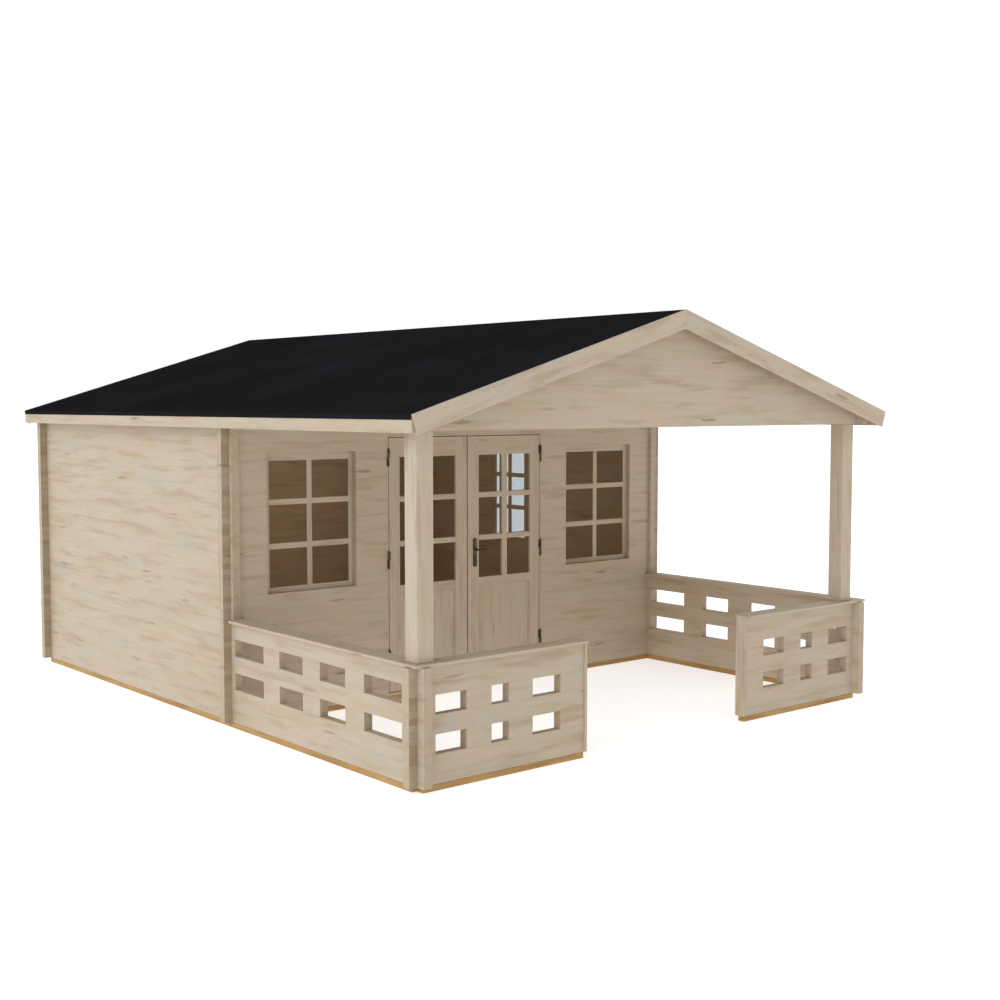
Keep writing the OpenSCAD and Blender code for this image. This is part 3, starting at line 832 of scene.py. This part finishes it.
def set_door_frame():
    """Linings, stops and threshold, each a member of its own."""
    low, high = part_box("door_frame")
    lining, stop, sill, stop_depth = 0.013, 0.051, 0.022, 0.013
    stop_y = high.y - stop_depth
    uprights, crosses = bmesh.new(), bmesh.new()
    for side in (-1, 1):
        outer = low.x if side < 0 else high.x
        for reach, y0, y1 in ((lining, low.y, stop_y), (stop, stop_y, high.y)):
            xs = sorted((outer, outer - side * reach))
            add_block(uprights, (xs[0], y0, low.z + sill), (xs[1], y1, high.z), SHARP_EDGE)
    for reach, y0, y1 in ((lining, low.y, stop_y), (stop, stop_y, high.y)):
        inset = lining if y0 == low.y else stop
        add_block(crosses, (low.x + inset, y0, high.z - reach), (high.x - inset, y1, high.z),
                  SHARP_EDGE)
    add_block(crosses, low, (high.x, high.y, low.z + sill), SHARP_EDGE)
    piece("door_frame_uprights", uprights, [STILES_Z],
          replaces=["door_frame"])
    piece("door_frame_crosses", crosses, [RAILS_X])


def hang_leaf(word):
    """A leaf: two stiles, three rails, a panel with moulded edges, and glazing bars."""
    body = f"{word}_door"
    low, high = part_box(f"{word}_leaf")
    glass_low, glass_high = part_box(f"{word}_leaf_glass")
    left, right = glass_low.x, glass_high.x
    bottom_rail, middle_rail, recess = 0.150, 0.061, 0.012
    panel_low = low.z + bottom_rail
    panel_high = glass_low.z - middle_rail
    stiles, rails, panel = bmesh.new(), bmesh.new(), bmesh.new()
    for x0, x1 in ((low.x, left), (right, high.x)):
        add_block(stiles, (x0, low.y, low.z), (x1, high.y, high.z), LEAF_EDGE, 2)
    for z0, z1 in ((low.z, panel_low), (panel_high, glass_low.z), (glass_high.z, high.z)):
        add_block(rails, (left - LEAF_EDGE, low.y + RAIL_BACK, z0),
                  (right + LEAF_EDGE, high.y - RAIL_BACK, z1), LEAF_EDGE, 2)
    add_block(panel, (left - 0.001, low.y + recess, panel_low - 0.001),
              (right + 0.001, high.y - recess, panel_high + 0.001), 0.0)
    add_beads(rails, stiles, (left, panel_low), (right, panel_high), low.y, high.y, recess)
    opening_low = Vector((left, low.y, glass_low.z))
    opening_high = Vector((right, high.y, glass_high.z))
    add_grid(stiles, rails, opening_low, opening_high, "y", LEAF_POST, LEAF_BAR, LEAF_BAR_DEPTH)
    piece(f"{word}_leaf_stiles", stiles, [STILES_Z], body, [f"{word}_leaf"])
    piece(f"{word}_leaf_rails", rails, [RAILS_X], body)
    piece(f"{word}_leaf_panel", panel, [PANEL_Z], body)


def add_beads(rails, stiles, low, high, front, back, recess):
    """Small quarter beads round the panel on both faces."""
    bead = 0.009
    for y0, y1 in ((front + recess - bead, front + recess), (back - recess, back - recess + bead)):
        for x0, x1 in ((low[0], low[0] + bead), (high[0] - bead, high[0])):
            add_block(stiles, (x0, y0, low[1]), (x1, y1, high[1]), 0.003, 2)
        for z0, z1 in ((low[1], low[1] + bead), (high[1] - bead, high[1])):
            add_block(rails, (low[0], y0 + 0.0003, z0), (high[0], y1 - 0.0003, z1), 0.003, 2)


def dress_hinges():
    """The hinges keep their CAD shape, and finials close their barrels."""
    for node in ("frame_hinges", "left_leaf_hinges", "right_leaf_hinges"):
        finish(NODES[node], BRONZE)
    for word in ("left", "right"):
        tops, feet = bmesh.new(), bmesh.new()
        joint = next(j for j in frame["joints"] if j["name"] == f"{word}_door_swing")
        x, y = joint["pos_m"][:2]
        for low, high in solids(f"{word}_leaf_hinges"):
            add_finial(tops, (x, y, high.z), 1)
            add_finial(feet, (x, y, 2 * low.z - high.z - HINGE_SLIT), -1)
        piece(f"{word}_hinge_tops", tops, [BRONZE], f"{word}_door", smooth=True)
        piece(f"{word}_hinge_feet", feet, [BRONZE], "root", smooth=True)


def add_finial(bm, at, way):
    """A turned button on the end of a hinge's barrel."""
    profile = [(0.0, 0.0), (0.0060, 0.0), (0.0068, 0.0015), (0.0050, 0.0028), (0.0046, 0.0035),
               (0.0058, 0.0055), (0.0050, 0.0075), (0.0028, 0.0092), (0.0, 0.0098)]
    turned = bmesh.new()
    verts = [turned.verts.new((r, 0, z * way)) for r, z in profile]
    edges = [turned.edges.new(pair) for pair in zip(verts, verts[1:])]
    bmesh.ops.spin(turned, geom=verts + edges, cent=(0, 0, 0), axis=(0, 0, 1),
                   angle=math.tau, steps=16, use_merge=True)
    bmesh.ops.remove_doubles(turned, verts=turned.verts, dist=1e-5)
    bmesh.ops.recalc_face_normals(turned, faces=turned.faces)
    bmesh.ops.translate(turned, vec=at, verts=turned.verts)
    join(bm, turned)


def fit_handle():
    """A lever on a long plate with round ends on each face of the right leaf."""
    leaf_low, leaf_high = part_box("right_leaf")
    low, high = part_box("door_handle")
    plate_half = 0.020
    x = low.x + plate_half
    plate_low, plate_high = low.z, high.z
    lever_z = plate_low + 0.6 * (plate_high - plate_low)
    plates, levers, painted_keyholes = bmesh.new(), bmesh.new(), bmesh.new()
    for face, way in ((leaf_low.y, -1), (leaf_high.y, 1)):
        add_plate(plates, x, face, way, plate_low, plate_high, plate_half)
        add_lever(levers, x, face, way, lever_z)
        # The keyhole is painted shade: a near-black disc and slit set on the plate where the hole
        # would be
        key = lever_z - 0.072
        add_rod(painted_keyholes, (x, face + way * 0.0040, key), (x, face + way * 0.0058, key), 0.0042, 16)
        near, far = sorted((face + way * 0.0040, face + way * 0.0057))
        add_block(painted_keyholes, (x - 0.0018, near, key - 0.013), (x + 0.0018, far, key), 0.0)
        for z in (plate_low + 0.016, plate_high - 0.016):
            add_screw(plates, (x, face + way * 0.005, z), (0, way, 0), SMALL_SCREW)
    piece("handle_plates", plates, [BRONZE], "right_door",
          ["door_handle"], smooth=True)
    piece("handle_levers", levers, [BRONZE], "right_door", smooth=True)
    piece("keyholes", painted_keyholes, [KEYHOLE_SHADE_AND_NAILS], "right_door")


def add_plate(bm, x, face, way, low, high, half):
    """A long plate with round ends, a waist and a raised rim."""
    plate = bmesh.new()
    steps, waist = 12, half * 0.86
    outline = []
    for start, middle, edge in ((0.0, high - half, -waist), (math.pi, low + half, waist)):
        for k in range(steps + 1):
            turn = start + math.pi * k / steps
            outline.append((half * math.cos(turn), middle + half * math.sin(turn)))
        outline.append((edge, (low + high) / 2))
    face_made = plate.faces.new([plate.verts.new((x + u, face, z)) for u, z in outline])
    top = pull(plate, [face_made], (0, way * 0.0032, 0))
    for thickness, depth in ((0.0020, 0.0018), (0.0022, 0.0), (0.0015, -0.0010)):
        bmesh.ops.inset_region(plate, faces=top, thickness=thickness, depth=depth,
                               use_even_offset=True)
    bmesh.ops.recalc_face_normals(plate, faces=plate.faces)
    join(bm, plate)


def add_lever(bm, x, face, way, z):
    """A rose, a neck, and a grip that curves out to the free end."""
    add_rod(bm, (x, face + way * 0.0035, z), (x, face + way * 0.011, z), 0.0145, 24, 0.011)
    out = 0.045
    route = [(0.0, 0.009, 0.0), (0.0, 0.030, 0.0), (0.003, 0.040, 0.0), (0.012, out, 0.0),
             (0.040, out + 0.001, 0.0015), (0.070, out + 0.0005, 0.001),
             (0.092, out - 0.001, -0.003), (0.104, out - 0.002, -0.0065)]
    radii = [0.0075, 0.0070, 0.0072, 0.0072, 0.0068, 0.0064, 0.0062, 0.0055]
    sweep(bm, [Vector((x + a, face + way * b, z + c)) for a, b, c in route], radii, 12)


def sweep(bm, points, radii, sides):
    """A smooth bar through the points, from ring to ring, with its ends closed flat."""
    tube = bmesh.new()
    rings = []
    finer, widths = refine(points, radii)
    for k, (point, radius) in enumerate(zip(finer, widths)):
        ahead = finer[min(k + 1, len(finer) - 1)] - finer[max(k - 1, 0)]
        ring = bmesh.ops.create_circle(tube, cap_ends=False, segments=sides, radius=radius)
        turn = ahead.to_track_quat("Z", "Y").to_matrix().to_4x4()
        bmesh.ops.transform(tube, matrix=Matrix.Translation(point) @ turn, verts=ring["verts"])
        rings.append(list({e for v in ring["verts"] for e in v.link_edges}))
    for first, second in zip(rings, rings[1:]):
        bmesh.ops.bridge_loops(tube, edges=first + second)
    bmesh.ops.holes_fill(tube, edges=tube.edges[:], sides=0)
    bmesh.ops.recalc_face_normals(tube, faces=tube.faces)
    join(bm, tube)


def refine(points, radii, steps=4):
    """Points on a smooth curve through the given ones."""
    finer, widths = [], []
    for k in range(len(points) - 1):
        before = points[max(k - 1, 0)]
        start, end = points[k], points[k + 1]
        after = points[min(k + 2, len(points) - 1)]
        for s in range(steps):
            t = s / steps
            finer.append(0.5 * ((2 * start) + (end - before) * t
                                + (2 * before - 5 * start + 4 * end - after) * t * t
                                + (3 * start - before - 3 * end + after) * t ** 3))
            widths.append(radii[k] + (radii[k + 1] - radii[k]) * t)
    finer.append(points[-1])
    widths.append(radii[-1])
    return finer, widths


# ------------------------------------------------------- camera, light, floor

def set_camera():
    """The eye stands before the left front corner, just above the eaves."""
    heading, dip = math.radians(39.811), math.radians(3.9706)
    data = bpy.data.cameras.new("camera")
    data.lens = 49.864
    data.sensor_width = 36.0
    camera = bpy.data.objects.new("camera", data)
    camera.location = (-6.5908, -8.8307, 2.1965)
    camera.rotation_euler = (math.pi / 2 - dip, 0.0, -heading)
    bpy.context.scene.collection.objects.link(camera)
    bpy.context.scene.camera = camera


class Sky(Paint):
    """The light from all round, as nodes of a world."""

    def __init__(self, name):
        self.world = bpy.data.worlds.new(name)
        self.world.use_nodes = True
        self.tree = self.world.node_tree
        self.shader = self.tree.nodes["Background"]


def light_up():
    """A white studio, dimmer overhead and in front, and one soft sun from the left."""
    sky = Sky("studio")
    _, y, z = sky.parts(sky.node("ShaderNodeTexCoord", output="Generated"))
    overhead = 1.0 - sky.between(z, 0.1, 0.9) * 0.3
    in_front = 1.0 - sky.between(y, -0.1, -0.8) * 0.45
    glow = overhead * in_front
    sky.wear("Color", sky.point(glow, glow, glow))
    sky.shader.inputs["Strength"].default_value = 1.02
    bpy.context.scene.world = sky.world
    bpy.context.scene.view_settings.view_transform = "Standard"
    data = bpy.data.lights.new("sun", "SUN")
    data.energy = 0.67
    data.color = (0.86, 1.0, 1.14)
    data.angle = math.radians(35)
    sun = bpy.data.objects.new("sun", data)
    towards_light = Vector((-0.82, -0.20, 0.60))
    sun.rotation_euler = towards_light.to_track_quat("Z", "Y").to_euler()
    bpy.context.scene.collection.objects.link(sun)

    # A faint warm lamp in the room, so that it doesn't look black through the windows
    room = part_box("floor_boards")
    data = bpy.data.lights.new("room_lamp", "POINT")
    data.energy = 30.0
    data.color = (1.0, 0.80, 0.58)
    data.shadow_soft_size = 0.5
    lamp = bpy.data.objects.new("room_lamp", data)
    lamp.location = (room[0] + room[1]) / 2 + Vector((0, 0, 1.5))
    lamp.visible_camera = False
    lamp.visible_glossy = False
    bpy.context.scene.collection.objects.link(lamp)


def lay_ground():
    """A white floor that glows a little, like a lit table."""
    paint = Paint("studio_floor", Roughness=0.95, Base_Color=(0.93, 0.93, 0.93, 1.0),
                  Emission_Color=(1.0, 1.0, 1.0, 1.0), Emission_Strength=0.56)
    bm = bmesh.new()
    bmesh.ops.create_grid(bm, x_segments=1, y_segments=1, size=150.0)
    mesh = bpy.data.meshes.new("studio_floor")
    bm.to_mesh(mesh)
    bm.free()
    floor = bpy.data.objects.new("studio_floor", mesh)
    floor.location.z = CAD_BOX[0][2] - 0.001
    finish(floor, paint.material)
    bpy.context.scene.collection.objects.link(floor)


set_camera()
light_up()
lay_ground()
dress_logs()
dress_beams()
lay_floor()
set_posts()
lay_rail_caps()
set_end_boards()
lay_roof_boards()
lay_felt()
set_fascias()
set_barge_boards()
set_windows()
set_door_frame()
hang_leaf("left")
hang_leaf("right")
dress_hinges()
fit_handle()
